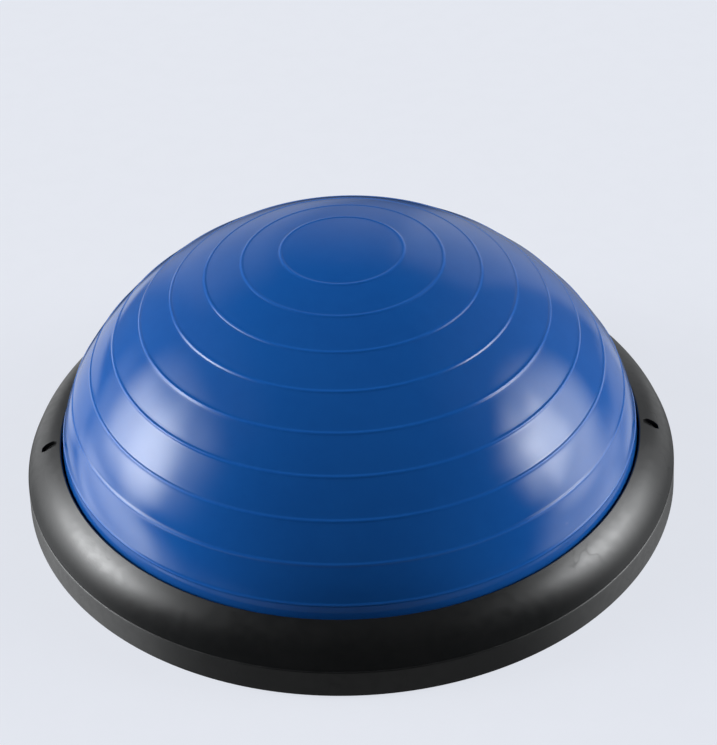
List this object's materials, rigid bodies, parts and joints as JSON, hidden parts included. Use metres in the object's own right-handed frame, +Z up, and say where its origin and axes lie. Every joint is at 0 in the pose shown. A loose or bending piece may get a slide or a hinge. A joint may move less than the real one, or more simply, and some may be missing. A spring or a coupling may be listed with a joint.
{
  "type": "balance dome trainer",
  "caption": "Half-ball balance trainer: ribbed inflated dome clamped by a convex collar to a flat round platform with hand grips and cord slots.",
  "frame": {"origin": "centre of the circle of feet, on the surface the feet stand on", "axes": "+Z up through the pole of the dome, X through the two hand grips, cord slots a little towards -Y"},
  "size_m": [0.5997, 0.5998, 0.2425],
  "materials": {
    "dome_pvc": "high-gloss PVC, moulded rings",
    "membrane_pvc": "calendered PVC sheet",
    "valve_rubber": "smooth rubber",
    "plug_plastic": "natural soft plastic",
    "collar_plastic": "satin black moulding",
    "platform_plastic": "satin black moulding, fine grain tread",
    "screw_steel": "zinc plated",
    "foot_rubber": "matt non-marking rubber"
  },
  "bodies": {
    "platform": {"platform": "platform_plastic", "clamp_collar": "collar_plastic", "clamp_screws": "screw_steel", "bladder_floor": "membrane_pvc", "valve_seat": "valve_rubber", "foot_1": "foot_rubber", "foot_2": "foot_rubber", "foot_3": "foot_rubber", "foot_4": "foot_rubber", "foot_5": "foot_rubber", "foot_6": "foot_rubber", "foot_7": "foot_rubber", "foot_8": "foot_rubber"},
    "dome": {"dome_shell": "dome_pvc"},
    "plug": {"valve_plug": "plug_plastic"}
  },
  "joints": [
    {"name": "dome_press", "type": "slide", "parent": "platform", "child": "dome", "axis": [0, 0, -1], "range_m": [0, 0.05], "stiffness_N_per_m": 14500, "deforming": ["dome_shell"]},
    {"name": "plug_pull", "type": "slide", "parent": "platform", "child": "plug", "axis": [0, 0, -1], "range_m": [0, 0.015]}
  ]
}
